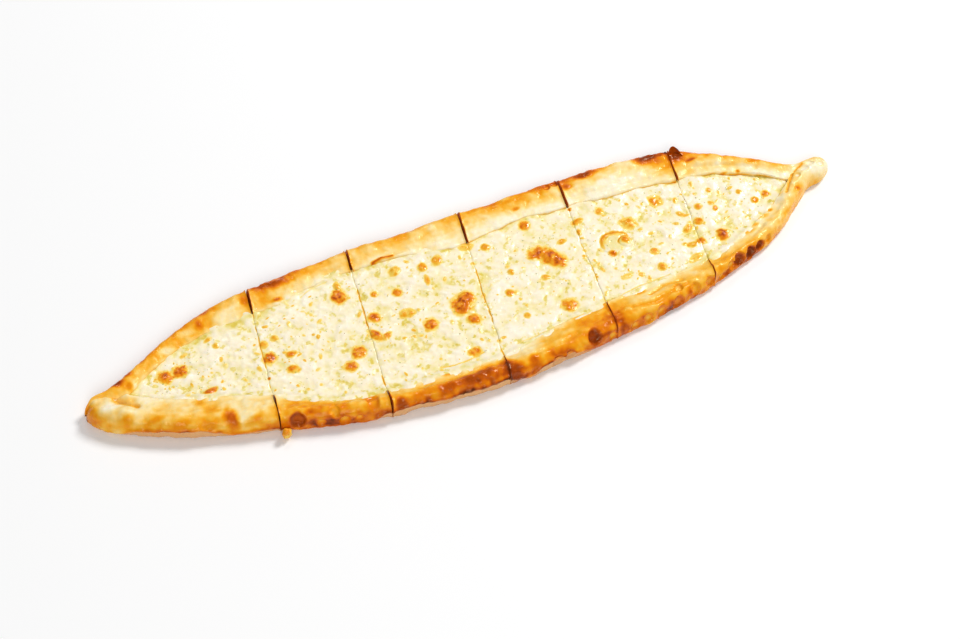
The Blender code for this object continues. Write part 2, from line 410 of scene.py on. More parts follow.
#     x    foot, wall, crest, fold, lip
FRONT_BAKE = np.array((
    (-271.5, 0.35, 0.52, 0.46, 0.35, 0.3),
    (-255, 0.3, 0.4, 0.16, 0.1, 0.15),
    (-230, 0.3, 0.46, 0.34, 0.16, 0.12),
    (-213, 0.35, 0.54, 0.44, 0.26, 0.14),
    (-200, 0.35, 0.52, 0.46, 0.3, 0.14),
    (-188, 0.38, 0.48, 0.26, 0.16, 0.1),
    (-165, 0.4, 0.58, 0.42, 0.26, 0.1),
    (-150, 0.55, 0.7, 0.5, 0.34, 0.14),
    (-110, 0.55, 0.68, 0.52, 0.38, 0.14),
    (-85, 0.45, 0.62, 0.5, 0.36, 0.1),
    (-70, 0.4, 0.62, 0.5, 0.28, 0.06),
    (-40, 0.45, 0.74, 0.58, 0.24, 0.04),
    (-12, 0.5, 0.8, 0.6, 0.28, 0.04),
    (10, 0.45, 0.68, 0.44, 0.12, 0.04),
    (28, 0.45, 0.62, 0.52, 0.3, 0.04),
    (45, 0.45, 0.66, 0.56, 0.42, 0.06),
    (60, 0.55, 0.66, 0.56, 0.4, 0.06),
    (75, 0.6, 0.66, 0.54, 0.5, 0.16),
    (90, 0.65, 0.64, 0.44, 0.22, 0.06),
    (120, 0.7, 0.66, 0.4, 0.2, 0.05),
    (160, 0.65, 0.6, 0.4, 0.28, 0.1),
    (175, 0.65, 0.7, 0.46, 0.22, 0.06),
    (200, 0.55, 0.54, 0.28, 0.1, 0.08),
    (220, 0.42, 0.38, 0.2, 0.1, 0.1),
    (245, 0.35, 0.36, 0.24, 0.2, 0.22),
    (277.5, 0.3, 0.34, 0.14, 0.1, 0.1),
))
BACK_BAKE = np.array((
    (-271.5, 0.45, 0.5, 0.4, 0.3, 0.2),
    (-240, 0.6, 0.66, 0.48, 0.34, 0.24),
    (-200, 0.6, 0.62, 0.46, 0.38, 0.22),
    (-175, 0.62, 0.66, 0.44, 0.26, 0.12),
    (-158, 0.5, 0.5, 0.3, 0.12, 0.06),
    (-148, 0.62, 0.66, 0.46, 0.32, 0.14),
    (-130, 0.75, 0.86, 0.6, 0.3, 0.12),
    (-110, 0.6, 0.62, 0.5, 0.16, 0.06),
    (-90, 0.48, 0.48, 0.34, 0.14, 0.08),
    (-75, 0.5, 0.52, 0.34, 0.26, 0.16),
    (-50, 0.5, 0.52, 0.34, 0.2, 0.14),
    (-30, 0.46, 0.48, 0.38, 0.12, 0.08),
    (-5, 0.4, 0.4, 0.26, 0.08, 0.04),
    (10, 0.48, 0.5, 0.36, 0.1, 0.04),
    (40, 0.5, 0.54, 0.4, 0.08, 0.04),
    (60, 0.6, 0.68, 0.46, 0.08, 0.04),
    (75, 0.7, 0.78, 0.44, 0.1, 0.06),
    (90, 0.75, 0.8, 0.44, 0.08, 0.06),
    (105, 0.75, 0.86, 0.36, 0.06, 0.06),
    (120, 0.5, 0.56, 0.24, 0.06, 0.06),
    (140, 0.44, 0.48, 0.22, 0.07, 0.08),
    (155, 0.7, 0.78, 0.4, 0.1, 0.1),
    (172, 0.85, 0.95, 0.6, 0.32, 0.14),
    (190, 0.58, 0.64, 0.36, 0.2, 0.16),
    (210, 0.6, 0.64, 0.38, 0.18, 0.14),
    (230, 0.58, 0.6, 0.26, 0.06, 0.08),
    (250, 0.45, 0.5, 0.24, 0.06, 0.06),
    (277.5, 0.35, 0.36, 0.15, 0.1, 0.1),
))
UNDERSIDE_BAKE = 0.36
HOLLOW_BAKE = 0.08
# Where along each side the lip's edge lies against the cheese, and how much darker it is painted there, as
# painted shade where the lip meets the cheese.
LIP_EDGE = (0.945, 0.985)
FRONT_LIP_SHADE = 0.16
BACK_LIP_SHADE = 0.34

# The pale strip along the front's foot, below a crease: its height and how plain it is.
FOOT = np.array((
    (-271.5, 0, 0),
    (-258, 3, 0.5),
    (-248, 6.5, 1),
    (-232, 9, 1),
    (-210, 9, 1),
    (-190, 5, 0.9),
    (-175, 5, 0.9),
    (-160, 5, 0.9),
    (-150, 1, 0.2),
    (-108, 1.5, 0.3),
    (-97, 6.5, 0.9),
    (-80, 8, 1),
    (-60, 7.5, 1),
    (-35, 8, 1),
    (-12, 8.5, 1),
    (-5, 5, 0.4),
    (5, 4.5, 0.4),
    (12, 8, 1),
    (38, 7.5, 0.9),
    (55, 3, 0.3),
    (277.5, 2.5, 0.3),
))

# Blisters and beads that stand out of the dough: x, y, z of the middle, radius, rise, how baked.
BLISTERS = (
    (-149.5, -58.5, 9.5, 5.4, 2.4, 0.88),
    (-136, -64.5, 6.5, 3.2, 1.5, 0.62),
    (-126, -61.5, 10.5, 4.4, 1.6, 0.5),
    (-121, -67.5, 6, 3.8, 1.7, 0.66),
    (-112, -69.5, 6.5, 3.4, 1.5, 0.7),
    (-101, -66, 11, 5.5, 1.5, 0.66),
    (54, -70, 9.5, 5.8, 2.9, 0.93),
    (34.5, -76, 7, 3.8, 1.9, 0.8),
    (25.5, -77.5, 6.5, 4.6, 1.7, 0.76),
    (68, -72, 6, 4, 1.4, 0.7),
    (86, -71, 6, 4.4, 1.6, 0.7),
    (96, -68, 7, 4, 1.5, 0.62),
    (107, -66, 7, 4.6, 1.8, 0.66),
    (121, -62, 6.5, 5, 2, 0.76),
    (124, -56, 11.5, 3.6, 1.3, 0.55),
    (136, -58, 8, 4.6, 1.5, 0.56),
    (148, -56, 8, 4, 1.4, 0.66),
    (159.5, -55, 5.5, 3, 1.6, 0.66),
    (164, -52.5, 6, 3.2, 2, 0.84),
    (168.5, -50.5, 9, 3.8, 1.9, 0.66),
    (176, -48.5, 9, 5.2, 3.6, 0.9),
    (186.8, -45.5, 8.5, 4.6, 3.4, 0.95),
    (195.5, -42, 8.5, 4, 3, 0.92),
    (203, -38, 8, 3, 1.5, 0.58),
    (256, 4.5, 14, 3.4, 0.9, 0.1),
    (263, 8.5, 13, 3, 0.9, 0.08),
    (269, 5, 12.5, 3, 0.8, 0.12),
    (248, 1, 14, 2.6, 0.7, 0.3),
    (79.5, 58, 11.5, 3, 1.4, 0.8),
    (86, 58.5, 11.5, 2.8, 1.3, 0.84),
)
# Blisters baked this much are hardly paler on top.
BURNT_BLISTER = 0.86
# Patches that are baked more or less than what is round them, one of them a painted highlight
# on the nub: x, y, radius along x, radius along y, how baked.
BAKE_PATCHES_AND_NUB_HIGHLIGHT = (
    (-269, -3, 4, 5, 0.58),
    # Painted highlight: this pale patch stands for the light on the nub's rounded top.
    (-256.5, -6.5, 6.5, 4.6, 0),
    (-250, -20, 5, 4, 0.56),
    (-245.5, 10, 5, 3, 0.9),
    (-238, 13.5, 4, 2.4, 0.8),
    (-240, 5, 2.2, 4, 0.6),
    (-234.5, -27.5, 7, 2, 0.55),
    (-221, -36.5, 7, 2.2, 0.58),
    (-218.5, 24, 5, 2.6, 0.58),
    (-209, 23, 6, 3, 0.1),
    (-205, -43, 9, 3, 0.55),
    (-203, -25, 4.5, 5, 0.52),
    (-198, -33, 5, 4.5, 0.5),
    (-192.5, 32.5, 6, 3, 0.22),
    (-188.5, -43.5, 4.6, 8, 0.78),
    (-183, 35.5, 3, 4, 0.74),
    (-174, -50, 6, 3, 0.58),
    (-149, 43, 2.4, 4, 0.66),
    (-126, 49, 14, 4, 0.88),
    (-128, 36, 4, 2.2, 0.74),
    (-104.5, 51, 5, 3, 0.5),
    (-84.5, -74, 4, 5, 0.86),
    (-71, -72, 7, 3, 0.66),
    (-53, -74, 9, 3.6, 0.8),
    (-47.5, -62.5, 4, 2, 0.56),
    (-37, -73, 10, 4.6, 0.86),
    (-24.5, -72, 9, 5, 0.84),
    (-10, -72, 6, 6, 0.9),
    (-5, -77, 6, 5, 0.88),
    (9, -75, 4.5, 5, 0.76),
    (49, 56, 7, 2, 0.54),
    (51.5, 48.5, 3, 1.4, 0.62),
    (71, -77, 4, 2.6, 0.86),
    (76, 59.5, 8, 3, 0.74),
    (93, 53.5, 4.5, 3, 0.78),
    (99, -49.5, 5, 2, 0.5),
    (108, 58.5, 13, 4, 0.88),
    (118, 47, 7, 3.2, 0),
    (158, 56, 11, 4.4, 0.94),
    (176.5, 50, 5.5, 5, 0.92),
    (186, 43, 5, 1.6, 0.82),
    (192, 25.5, 4.5, 1.4, 0.74),
    (200, 23.4, 4.5, 1.2, 0.62),
    (192, -30, 7, 2.2, 0.42),
    (208, -21.5, 6, 1.8, 0.42),
    (226, -8.5, 6, 1.6, 0.36),
    (200, -26, 3, 2, 0.44),
    (212, 21.5, 1.4, 1.4, 0.68),
    (216, -18.5, 2, 1.6, 0.62),
    (230, 26, 10, 2.4, 0.6),
    (242.5, 6, 4, 2.6, 0),
    (243, -9.5, 3, 2.2, 0.76),
    (264, 3.5, 12, 6.5, 0.02),
    (252, 12, 4, 2, 0.05),
)
# Folds and dents along lines: places, width, depth (less than 0 for a ridge), how baked inside. The nub's
# valley and dent are painted darker inside as painted shade.
FOLDS = (
    # Painted shade: the nub's valley and dent, the first two, are painted darker where shade falls behind
    # the nub.
    (((-252, -1), (-246, -7.5), (-240, -12.5)), 1.7, 2.2, 0.48),
    (((-249, -3), (-242, -6.6)), 3.4, 1.4, 0.3),
    (((-266, -3), (-258, -7.5), (-249, -14)), 5, -1.6, None),
    (((228.7, -13.8), (239, -5), (248.5, 1.3), (257.7, 4.6), (266, 6.4), (272, 6.4)), 4.2, -1.9, None),
    (((233.6, -9.9), (240, -2.5), (246, 3.5)), 1, 1.6, 0.44),
    (((246, 4), (252, 7.4), (258, 10.4)), 0.9, 0.5, 0.48),
    (((-66, -66), (-40, -68), (-14, -68)), 2, 0.9, None),
    (((12, -70), (30, -69), (44, -66)), 2, 0.9, None),
    (((88, -60), (104, -62), (118, -58), (132, -55)), 1.6, 1.2, 0.52),
    (((104, -54), (116, -50), (130, -51)), 1.4, 0.9, 0.44),
    (((170, -44), (190, -37), (204, -29)), 1.6, 0.8, None),
    (((-58, 41), (-51, 42.4), (-43, 42)), 1, -0.5, 0.8),
    (((-100, 48), (-84, 46)), 1.6, 0.6, None),
    (((92, 44), (120, 41), (150, 39)), 1.5, 0.7, None),
    (((185, 36), (205, 30), (225, 20)), 1.8, 0.9, None),
)
# The burnt flake: the places along its foot, how far it rises at each, and how far it leans.
FLAKE_FOOT = ((171.0, 51.5, 11.0), (174.5, 53.5, 11.5), (178.5, 52.5, 11.5), (182.0, 47.5, 11.0))
FLAKE_RISES = (1.0, 5.5, 4.5, 1.0)
FLAKE_LEAN = (0.15, 0.25)


def lip_waver(x, column):
    """How far a lip strays from the outline at every x, as the folded dough does by hand."""
    at = np.stack((x, np.full_like(x, 40.0 * column), np.zeros_like(x)), axis=-1)
    return LIP_WAVER * layered_noise(at, 22.0, 83, 3)


def section(side_table, planes, share, edge_column, lip_column, crest_column, narrowing, opened, inward):
    """One side's outer curve, from the underside to the lip, for every ring, as arrays of y and z.

    narrowing and opened give for every ring how wide the tip is and how open the hollow is, and
    inward is 1 from the front or -1 from the back.
    """
    edge = meeting(planes, share, edge_column)
    lip = meeting(planes, share, lip_column)
    other_edge = BACK_EDGE if edge_column == FRONT_EDGE else FRONT_EDGE
    middle = (edge + meeting(planes, share, other_edge)) / 2
    seam = steady_value(SEAM, 1, place(planes, share, lip))
    lip = lip + lip_waver(place(planes, share, lip), lip_column)
    lip = seam + (lip - seam) * opened + inward * SEAM_OVERLAP * (1 - opened)
    edge = middle + (edge - middle) * narrowing
    lip = middle + (lip - middle) * narrowing
    x = place(planes, share, edge)
    lowering = TIP_HEIGHT + (1 - TIP_HEIGHT) * narrowing
    crest = smooth_value(HEIGHTS, crest_column, x) * lowering
    lip_height = smooth_value(HEIGHTS, crest_column + 1, x) * lowering
    closed_height = crest * (1 - SEAM_DIP)
    lip_height = closed_height + (lip_height - closed_height) * opened
    width = np.abs(lip - edge)
    reach = np.minimum(1.0, width / WIDE_FOLD)
    at = np.linspace(0.0, 1.0, int(SIDE_LENGTH / CRUST_STEP))
    weights = hermite_weights(side_table[:, 0], at)
    into = (side_table[:, 1] * reach[:, None] + side_table[:, 2] * width[:, None]) @ weights.T
    height = (side_table[:, 3] * crest[:, None] + side_table[:, 4] * lip_height[:, None]) @ weights.T
    return edge[:, None] + inward * into, height, at, lip, lip_height


def under_fold(lip, lip_height, tuck, opened, inward):
    """The hollow's wall from under the lip to the floor, for every ring."""
    underside = lip_height * LIP_UNDERSIDE
    floor = underside + (FLOOR - underside) * opened
    y = np.stack([lip - inward * tuck * opened * share for share, _ in UNDER_FOLD[1:]], axis=1)
    z = np.stack([floor + (underside - floor) * rise for _, rise in UNDER_FOLD[1:]], axis=1)
    return y, z


def bake_along(table, x, at):
    """How baked one side is at each point of each ring."""
    columns = np.stack([smooth_value(table, 1 + k, x) for k in range(len(BAKE_PLACES))], axis=1)
    return columns @ hermite_weights(BAKE_PLACES, at).T


def dough_rings(planes, share, opened):
    """Rings round a slice's dough, up the front, through the hollow, down the back and underneath.

    Beside the points it gives how far along its side each point of a side is.
    """
    middle_x = place(planes, share, np.zeros_like(share))
    narrowing = np.maximum(quarter_round(middle_x, TIPS, TIP_ROUND), TIP_LEAST)
    front_y, front_z, at, front_lip, front_height = section(
        FRONT_SIDE, planes, share, FRONT_EDGE, FRONT_LIP, 1, narrowing, opened, 1
    )
    back_y, back_z, _, back_lip, back_height = section(
        BACK_SIDE, planes, share, BACK_EDGE, BACK_LIP, 3, narrowing, opened, -1
    )
    front_under = under_fold(front_lip, front_height, TUCK, opened, 1)
    back_under = under_fold(back_lip, back_height, TUCK, opened, -1)
    floor = [between(a[:, -1], b[:, -1], FLOOR_POINTS) for a, b in zip(front_under, back_under)]
    hollow_y, hollow_z = ((a, c, b[:, ::-1]) for a, c, b in zip(front_under, floor, back_under))
    bottom_y = between(back_y[:, 0], front_y[:, 0], BOTTOM_POINTS)
    y = np.concatenate((front_y, *hollow_y, back_y[:, ::-1], bottom_y), axis=1)
    z = np.concatenate((front_z, *hollow_z, back_z[:, ::-1], np.zeros_like(bottom_y)), axis=1)
    return ring_points(planes, share, y, z), at


def first_bake_and_lip_shade(points, at, opened):
    """How baked the dough is before it is mottled, with a painted shade line at each lip's edge, and how
    far each point of a ring is outer skin.
    """
    side = len(at)
    back = slice(-BOTTOM_POINTS - side, -BOTTOM_POINTS)
    bake_and_painted_light = np.full(points.shape[:2], HOLLOW_BAKE)
    bake_and_painted_light[:, :side] = bake_along(FRONT_BAKE, points[:, side // 2, 0], at)
    bake_and_painted_light[:, back] = bake_along(BACK_BAKE, points[:, -BOTTOM_POINTS - side // 2, 0], at)[:, ::-1]
    # Painted shade: a darker line along each lip's edge, where it meets the cheese.
    lip_shade_line = step_between(*LIP_EDGE, at) * opened[:, None]
    bake_and_painted_light[:, :side] += FRONT_LIP_SHADE * lip_shade_line
    bake_and_painted_light[:, back] += BACK_LIP_SHADE * lip_shade_line[:, ::-1]
    bake_and_painted_light[:, -BOTTOM_POINTS:] = UNDERSIDE_BAKE
    skin = np.zeros(points.shape[1])
    skin[:side] = step_between(0.0, 0.1, at)
    skin[back] = step_between(0.0, 0.1, at)[::-1]
    return bake_and_painted_light, skin


def front_foot(front, at):
    """How far each point of the front is in the pale strip along its foot, and in its crease, which is
    painted darker as painted shade.
    """
    plain = steady_value(FOOT, 2, front[..., 0])
    ragged = 1.1 * layered_noise(front * (1, 1, 0), 12.0, 81, 2)
    strip = steady_value(FOOT, 1, front[..., 0]) + ragged
    low_wall = at < 0.5
    foot = plain * step_between(0.9, -0.9, front[..., 2] - strip) * low_wall
    crease = plain * bell(front[..., 2] - strip - 0.4, 1.2) * low_wall
    return foot, crease


def dough_slice(number, materials):
    """The dough of one slice, with the folded sides, blisters and browning, and painted shade in the foot's
    crease and beside the cuts.
    """
    planes = slice_planes(number, TIPS, cut_plane)
    share = shares_along(number, planes, CRUST_STEP)
    middle_x = place(planes, share, np.zeros_like(share))
    opened = quarter_round(middle_x, HOLLOW_ENDS, HOLLOW_ROUND)
    points, at = dough_rings(planes, share, opened)
    bake_and_painted_light, skin = first_bake_and_lip_shade(points, at, opened)
    side = len(at)
    foot = np.zeros(points.shape[:2])
    foot[:, :side], crease = front_foot(points[:, :side], at)

    left, right = from_cuts(number, planes, share)
    points = close_cuts(points, number, left, right)
    near_cut = bell(np.minimum(left, right), 0.8)[:, None] * skin
    push = np.zeros(points.shape[:2])
    push[:, :side] = 0.5 * foot[:, :side] - 1.1 * crease
    # Painted shade: the foot's crease is painted darker.
    bake_and_painted_light[:, :side] += 0.22 * crease
    points = points + grid_normals(points) * (push * skin - 0.6 * near_cut)[..., None]
    points, bake_and_painted_light = shape_dough(points, bake_and_painted_light, skin)
    # Painted shade: the dough is painted a little darker next to each cut, where the gap's shade falls.
    bake_and_painted_light = bake_and_painted_light + near_cut * 0.12
    values = {"bake_and_painted_light": bake_and_painted_light, "foot": foot}
    made = ring_mesh(f"dough_skin_{number}", points, values, materials, cap_material=1)
    stand_for(made, "crust", f"dough_{number}")


def close_cuts(points, number, left, right):
    """Leans the cuts' faces towards each other below, where the knife has only parted the dough."""
    below = step_between(*CUT_CLOSES, points[..., 2])
    shift = np.zeros(below.shape)
    if number > 1:
        reach = half_gap(CUTS[number - 2], points[..., 1]) - CUT_FOOT / 2
        shift -= reach * bell(left, CUT_CLOSES_OVER)[:, None]
    if number < SLICES:
        reach = half_gap(CUTS[number - 1], points[..., 1]) - CUT_FOOT / 2
        shift += reach * bell(right, CUT_CLOSES_OVER)[:, None]
    points[..., 0] += shift * below
    return points


def shape_dough(points, bake_and_painted_light, skin):
    """Lumps, folds, blisters and scorches on the dough's skin, with a painted highlight on the nub and
    painted shade in its valley and dent.
    """
    broad = lattice_noise(points, 19.0, 11)
    lumps = lattice_noise(points, 7.5, 12)
    small = lattice_noise(points, 3.0, 13)
    streaks = lattice_noise(points * (0.2, 1.0, 1.0), 2.4, 37)
    relief = 0.8 * broad + 0.65 * lumps + 0.30 * small + 0.24 * streaks
    points = points + grid_normals(points) * (relief * skin)[..., None]
    patches = layered_noise(points, 9.0, 21, 3)
    mottle = 0.07 * broad + 0.14 * lumps + 0.12 * small + 0.08 * streaks + 0.20 * patches
    bake_and_painted_light = bake_and_painted_light + skin * mottle * (0.35 + 1.3 * bake_and_painted_light)

    # Baked and pale patches; the pale patch on the nub is a painted highlight.
    for x, y, radius_x, radius_y, baked in BAKE_PATCHES_AND_NUB_HIGHLIGHT:
        away = np.hypot((points[..., 0] - x) / radius_x, (points[..., 1] - y) / radius_y)
        away = away + 0.45 * layered_noise(points, 6.0, 31, 3)
        share = step_between(1.45, 0.2, away) * skin
        bake_and_painted_light = bake_and_painted_light + (baked - bake_and_painted_light) * share

    on_top = step_between(3.0, 7.0, points[..., 2]) * skin
    for path, width, depth, baked in FOLDS:
        inside = bell(beside_path(points, path), width) * on_top
        points[..., 2] -= depth * inside
        # Inside a fold the dough takes the fold's colour; at the nub that is painted shade.
        if baked is not None:
            bake_and_painted_light = bake_and_painted_light + (baked - bake_and_painted_light) * inside

    wrinkles = creased_noise(points, 4.5, 33) * step_between(0.55, 0.8, bake_and_painted_light)
    points = points + grid_normals(points) * (0.45 * wrinkles * skin)[..., None]

    rise = np.zeros(bake_and_painted_light.shape)
    for x, y, z, radius, height, baked in BLISTERS:
        away = np.linalg.norm(points - np.array((x, y, z)), axis=-1) / radius
        away = away + 0.10 * lattice_noise(points, 4.0, 35)
        rise = np.maximum(rise, 1.25 * height * np.sqrt(np.clip(1 - away**2, 0, 1)))
        paler = 0.28 if baked < BURNT_BLISTER else 0.08
        top = baked - paler * step_between(0.9, 0.2, away)
        bake_and_painted_light = bake_and_painted_light + (top - bake_and_painted_light) * step_between(1.20, 0.80, away) * skin
    points = points + grid_normals(points) * (rise * skin)[..., None]
    points[..., 2] = np.maximum(points[..., 2], 0.0)
    return points, bake_and_painted_light


def make_flake(skin):
    """The burnt flake of dough: a thin crisp sheet that stands on the back edge and leans over it."""
    stations = np.linspace(0.0, 1.0, len(FLAKE_FOOT))
    weights = hermite_weights(stations, np.linspace(0.0, 1.0, 24))
    foot = weights @ np.array(FLAKE_FOOT)
    rise = np.maximum(weights @ np.array(FLAKE_RISES), 0.1)
    levels = np.linspace(0.0, 1.0, 9)
    sheet = foot[:, None, :] + rise[:, None, None] * levels[:, None] * np.array((*FLAKE_LEAN, 1.0))
    sheet[..., 2] += 0.3 * lattice_noise(sheet, 2.0, 91)
    side = np.array((0.0, 1.0, 0.0)) * (0.35 + 0.25 * lattice_noise(sheet, 2.5, 92))[..., None]
    bulge = 0.6 * lattice_noise(sheet, 3.5, 93)[..., None] * np.array((0.0, 1.0, 0.0))
    rings = np.concatenate((sheet - side + bulge, (sheet + side + bulge)[:, ::-1]), axis=1)
    toned = 0.9 + 0.12 * lattice_noise(rings, 2.5, 94)
    made = ring_mesh("burnt_flake", rings, {"bake_and_painted_light": toned, "foot": 0 * toned}, [skin])
    stand_for(made, "crust")


# ---------------------------------------------------------------------------------------------
# Cheese

# Toasted spots: x, y, radius, how toasted, length over width, and turn in degrees.
SPOTS = (
    (-216, 5, 4.8, 0.9, 1, 0),
    (-206, 6, 4.4, 0.9, 1, 0),
    (-193, -16, 2.8, 0.9, 2.2, 10),
    (-200, 17, 2, 0.4, 1.6, 20),
    (-178, 16, 2, 0.55, 1, 0),
    (-181, 23, 2, 0.42, 1.8, 20),
    (-149, -6.5, 4.2, 0.92, 1.2, 20),
    (-135, -8, 2.8, 0.7, 1.5, 0),
    (-138, -20, 3.4, 0.7, 1.5, -20),
    (-149, 5.5, 2.6, 0.55, 1, 0),
    (-141, 8, 2.4, 0.55, 1, 0),
    (-155, -21, 1.1, 0.95, 1, 0),
    (-89, 24, 5.2, 0.92, 1, 0),
    (-87, 33, 2.5, 0.42, 1.6, 80),
    (-94, -23, 4.8, 0.82, 1.1, 30),
    (-103, -32, 3.9, 0.8, 1.2, -10),
    (-73.5, -1, 3.7, 0.82, 1, 0),
    (-78, -15, 4.2, 0.76, 1.7, -60),
    (-72, -18, 3, 0.7, 1.8, 30),
    (-51.5, 13, 3.2, 0.84, 1, 0),
    (-66.5, 17, 2.4, 0.66, 1, 0),
    (-47, 30, 3.6, 0.46, 1.2, 30),
    (-28, 26, 3.2, 0.7, 1, 0),
    (-29, 15, 2.6, 0.52, 2.2, 80),
    (-16.5, 28, 3.6, 0.72, 1, 0),
    (-52, -6, 4, 0.42, 1.6, 0),
    (-41, -20, 4.3, 0.9, 1, 0),
    (-17, -15, 5.9, 0.84, 1, 0),
    (-11.5, -9, 5.8, 0.84, 1.1, 40),
    (-15, -12, 6.2, 0.86, 1, 0),
    (-13.5, -27, 4.3, 0.78, 1.2, -40),
    (-23.5, -51.5, 3.6, 0.72, 1.2, 20),
    (7, 31.5, 3.6, 0.44, 1.6, 10),
    (18.5, 26, 2.8, 0.72, 1, 0),
    (52, 34, 3.9, 0.8, 1, 0),
    (50, 8, 6, 0.86, 1.5, 5),
    (55.5, 3, 6, 0.88, 1, 0),
    (59.5, -2.5, 6, 0.88, 1, 0),
    (51, -40, 4.8, 0.7, 1.1, 0),
    (18, -16, 2.8, 0.62, 1, 0),
    (46, -13, 2.4, 0.52, 1.3, 0),
    (20.5, -38, 2.2, 0.52, 1, 0),
    (26, 0, 2.2, 0.6, 1, 0),
    (69, 11, 2.4, 0.6, 1.6, 0),
    (86.5, 23, 3, 0.58, 1.8, 10),
    (87, 35, 1.5, 0.85, 1, 0),
    (105.5, 26, 2.7, 0.58, 1.2, 60),
    (146, 20, 4.4, 0.6, 1.1, 0),
    (119, 9, 4.6, 0.56, 1.2, -20),
    (97, -11.5, 2.4, 0.8, 1, 0),
    (110, -4.5, 2.8, 0.76, 1, 0),
    (124.5, -20.5, 2.6, 0.6, 1, 0),
    (123.5, -34.5, 2.8, 0.62, 1, 0),
    (159, -24, 3.2, 0.82, 1, 0),
    (171, 3.5, 2.4, 0.66, 1, 0),
    (181, 3.5, 2.2, 0.62, 1, 0),
    (182, -2, 2.2, 0.74, 1, 0),
    (204, 5, 2, 0.56, 1, 0),
    (185, 14.5, 2, 0.56, 1, 0),
    (165.5, -7.5, 2.8, 0.66, 1, 0),
    (166.5, 31, 1.6, 1, 1, 0),
    (156, -11, 3, 0.54, 1.5, 20),
    (152, -25, 2.8, 0.56, 1.8, 0),
    (146.5, -22.5, 1.6, 0.42, 1.2, 0),
    (148.5, -36, 3.4, 0.44, 2, 20),
    (156.5, 2.5, 2.2, 0.5, 1.8, -40),
    (159, 15, 2, 0.46, 1.4, 60),
    (107.5, -35, 2, 0.44, 1.2, 0),
    (111, -40, 1.8, 0.46, 1.8, 70),
    (97, -33, 2.6, 0.42, 2, 10),
    (84, 14, 2.2, 0.5, 1.8, 80),
    (175.5, -24.5, 4.4, 0.92, 1.3, 20),
    (211, -6, 2.8, 0.7, 1.1, 0),
    (221, -3, 2.8, 0.74, 1.1, 0),
    (73, -50, 1.8, 0.88, 1.2, 0),
)
# How far a spot swells: as a share of its radius, and at most.
SPOT_SWELL = 0.18
SPOT_SWELL_MOST = 0.9
GOLDEN_FLECKS = 420
GREEN_FLECKS = 260
BROWN_FLECKS = 160
FLECK_CORNERS = 6
# Between which ends the flecks are scattered, and how far they keep from the lips.
SCATTER_ENDS = (-225.0, 222.0)
CLEAR_OF_LIP = 3.0
# Swollen bubbles: x, y, radius, rise, how toasted their back rim is.
BUBBLES = (
    (103.7, -4, 10.5, 1.3, 0.62),
    (110, -5.5, 5, 0.8, 0.66),
)
# Thin creases where the dough's lip shows through: places, width, depth, how toasted.
CREASES = (
    (((-49.5, -54.5), (-40, -56.5), (-29, -56), (-18, -54)), 0.7, 0.7, 0.34),
    (((5, -56), (20, -55), (40, -53), (56, -51)), 0.6, 0.7, 0.28),
    (((76, -48.5), (88, -46), (101, -43.5), (125, -42.5)), 0.6, 0.7, 0.32),
    (((-168, 31.5), (-160, 32), (-153.5, 33.5)), 0.6, 0.4, 0.26),
    (((-113, 33), (-104, 37), (-92, 38.5)), 0.6, 0.4, 0.24),
)
CHEESE_TOP = 9.6
CHEESE_BOTTOM = 4.5
# The gap between the cheese and the hollow's ends.
CHEESE_END_GAP = 1.0
# How far the cheese reaches over the lips: at a cut, and further on from it.
OVER_LIP_AT_CUT = 0.4
OVER_LIP = 3.8
# How far the cheese's sides bulge past its edge, and their places: the share of that, and the height.
SIDE_BULGE = 1.98
CHEESE_SIDE = ((0.1, 7.6), (0.9, 6.0), (0.95, 5.0), (0.7, CHEESE_BOTTOM))
# How far the cheese swells up over the lips, at the front and the back.
COVER = np.array((
    (-243, 1.3, 0.7),
    (-200, 1.5, 0.7),
    (-155, 1.5, 0.9),
    (-120, 1.4, 1),
    (-80, 1.4, 0.8),
    (-60, 1.4, 0.5),
    (-35, 1.3, 0.9),
    (-5, 1.3, 0.5),
    (10, 1, 0),
    (60, 0.9, 0),
    (78, 0.4, 0),
    (95, 0.9, 0),
    (130, 0.7, 0),
    (155, 0.4, 0.1),
    (175, 1.2, 0.3),
    (200, 0.8, 0),
    (241, 0.2, 0),
))


def scattered(count, seed):
    """Places on the cheese, clear of the lips."""
    rng = np.random.default_rng(seed)
    x = rng.uniform(*SCATTER_ENDS, count)
    low = smooth_value(OUTLINE, FRONT_LIP, x) + CLEAR_OF_LIP
    high = smooth_value(OUTLINE, BACK_LIP, x) - CLEAR_OF_LIP
    return x, low + (high - low) * rng.random(count), rng


def all_spots():
    """The main spots, and golden flecks scattered between them."""
    x, y, rng = scattered(GOLDEN_FLECKS, 5)
    radius = 0.6 + 1.2 * rng.random(GOLDEN_FLECKS) ** 2
    toasted = rng.uniform(0.20, 0.50, GOLDEN_FLECKS)
    stretch = rng.uniform(1.0, 2.2, GOLDEN_FLECKS)
    turn = rng.uniform(0.0, 180.0, GOLDEN_FLECKS)
    return list(SPOTS) + list(zip(x, y, radius, toasted, stretch, turn))


def spot_distance(points, x, y, radius, stretch, turn):
    """How far each point is from a spot's middle, in its radii."""
    angle = np.radians(turn)
    dx, dy = points[..., 0] - x, points[..., 1] - y
    along = (dx * np.cos(angle) + dy * np.sin(angle)) / (radius * stretch**0.5)
    over = (dy * np.cos(angle) - dx * np.sin(angle)) / (radius / stretch**0.5)
    return np.hypot(along, over)


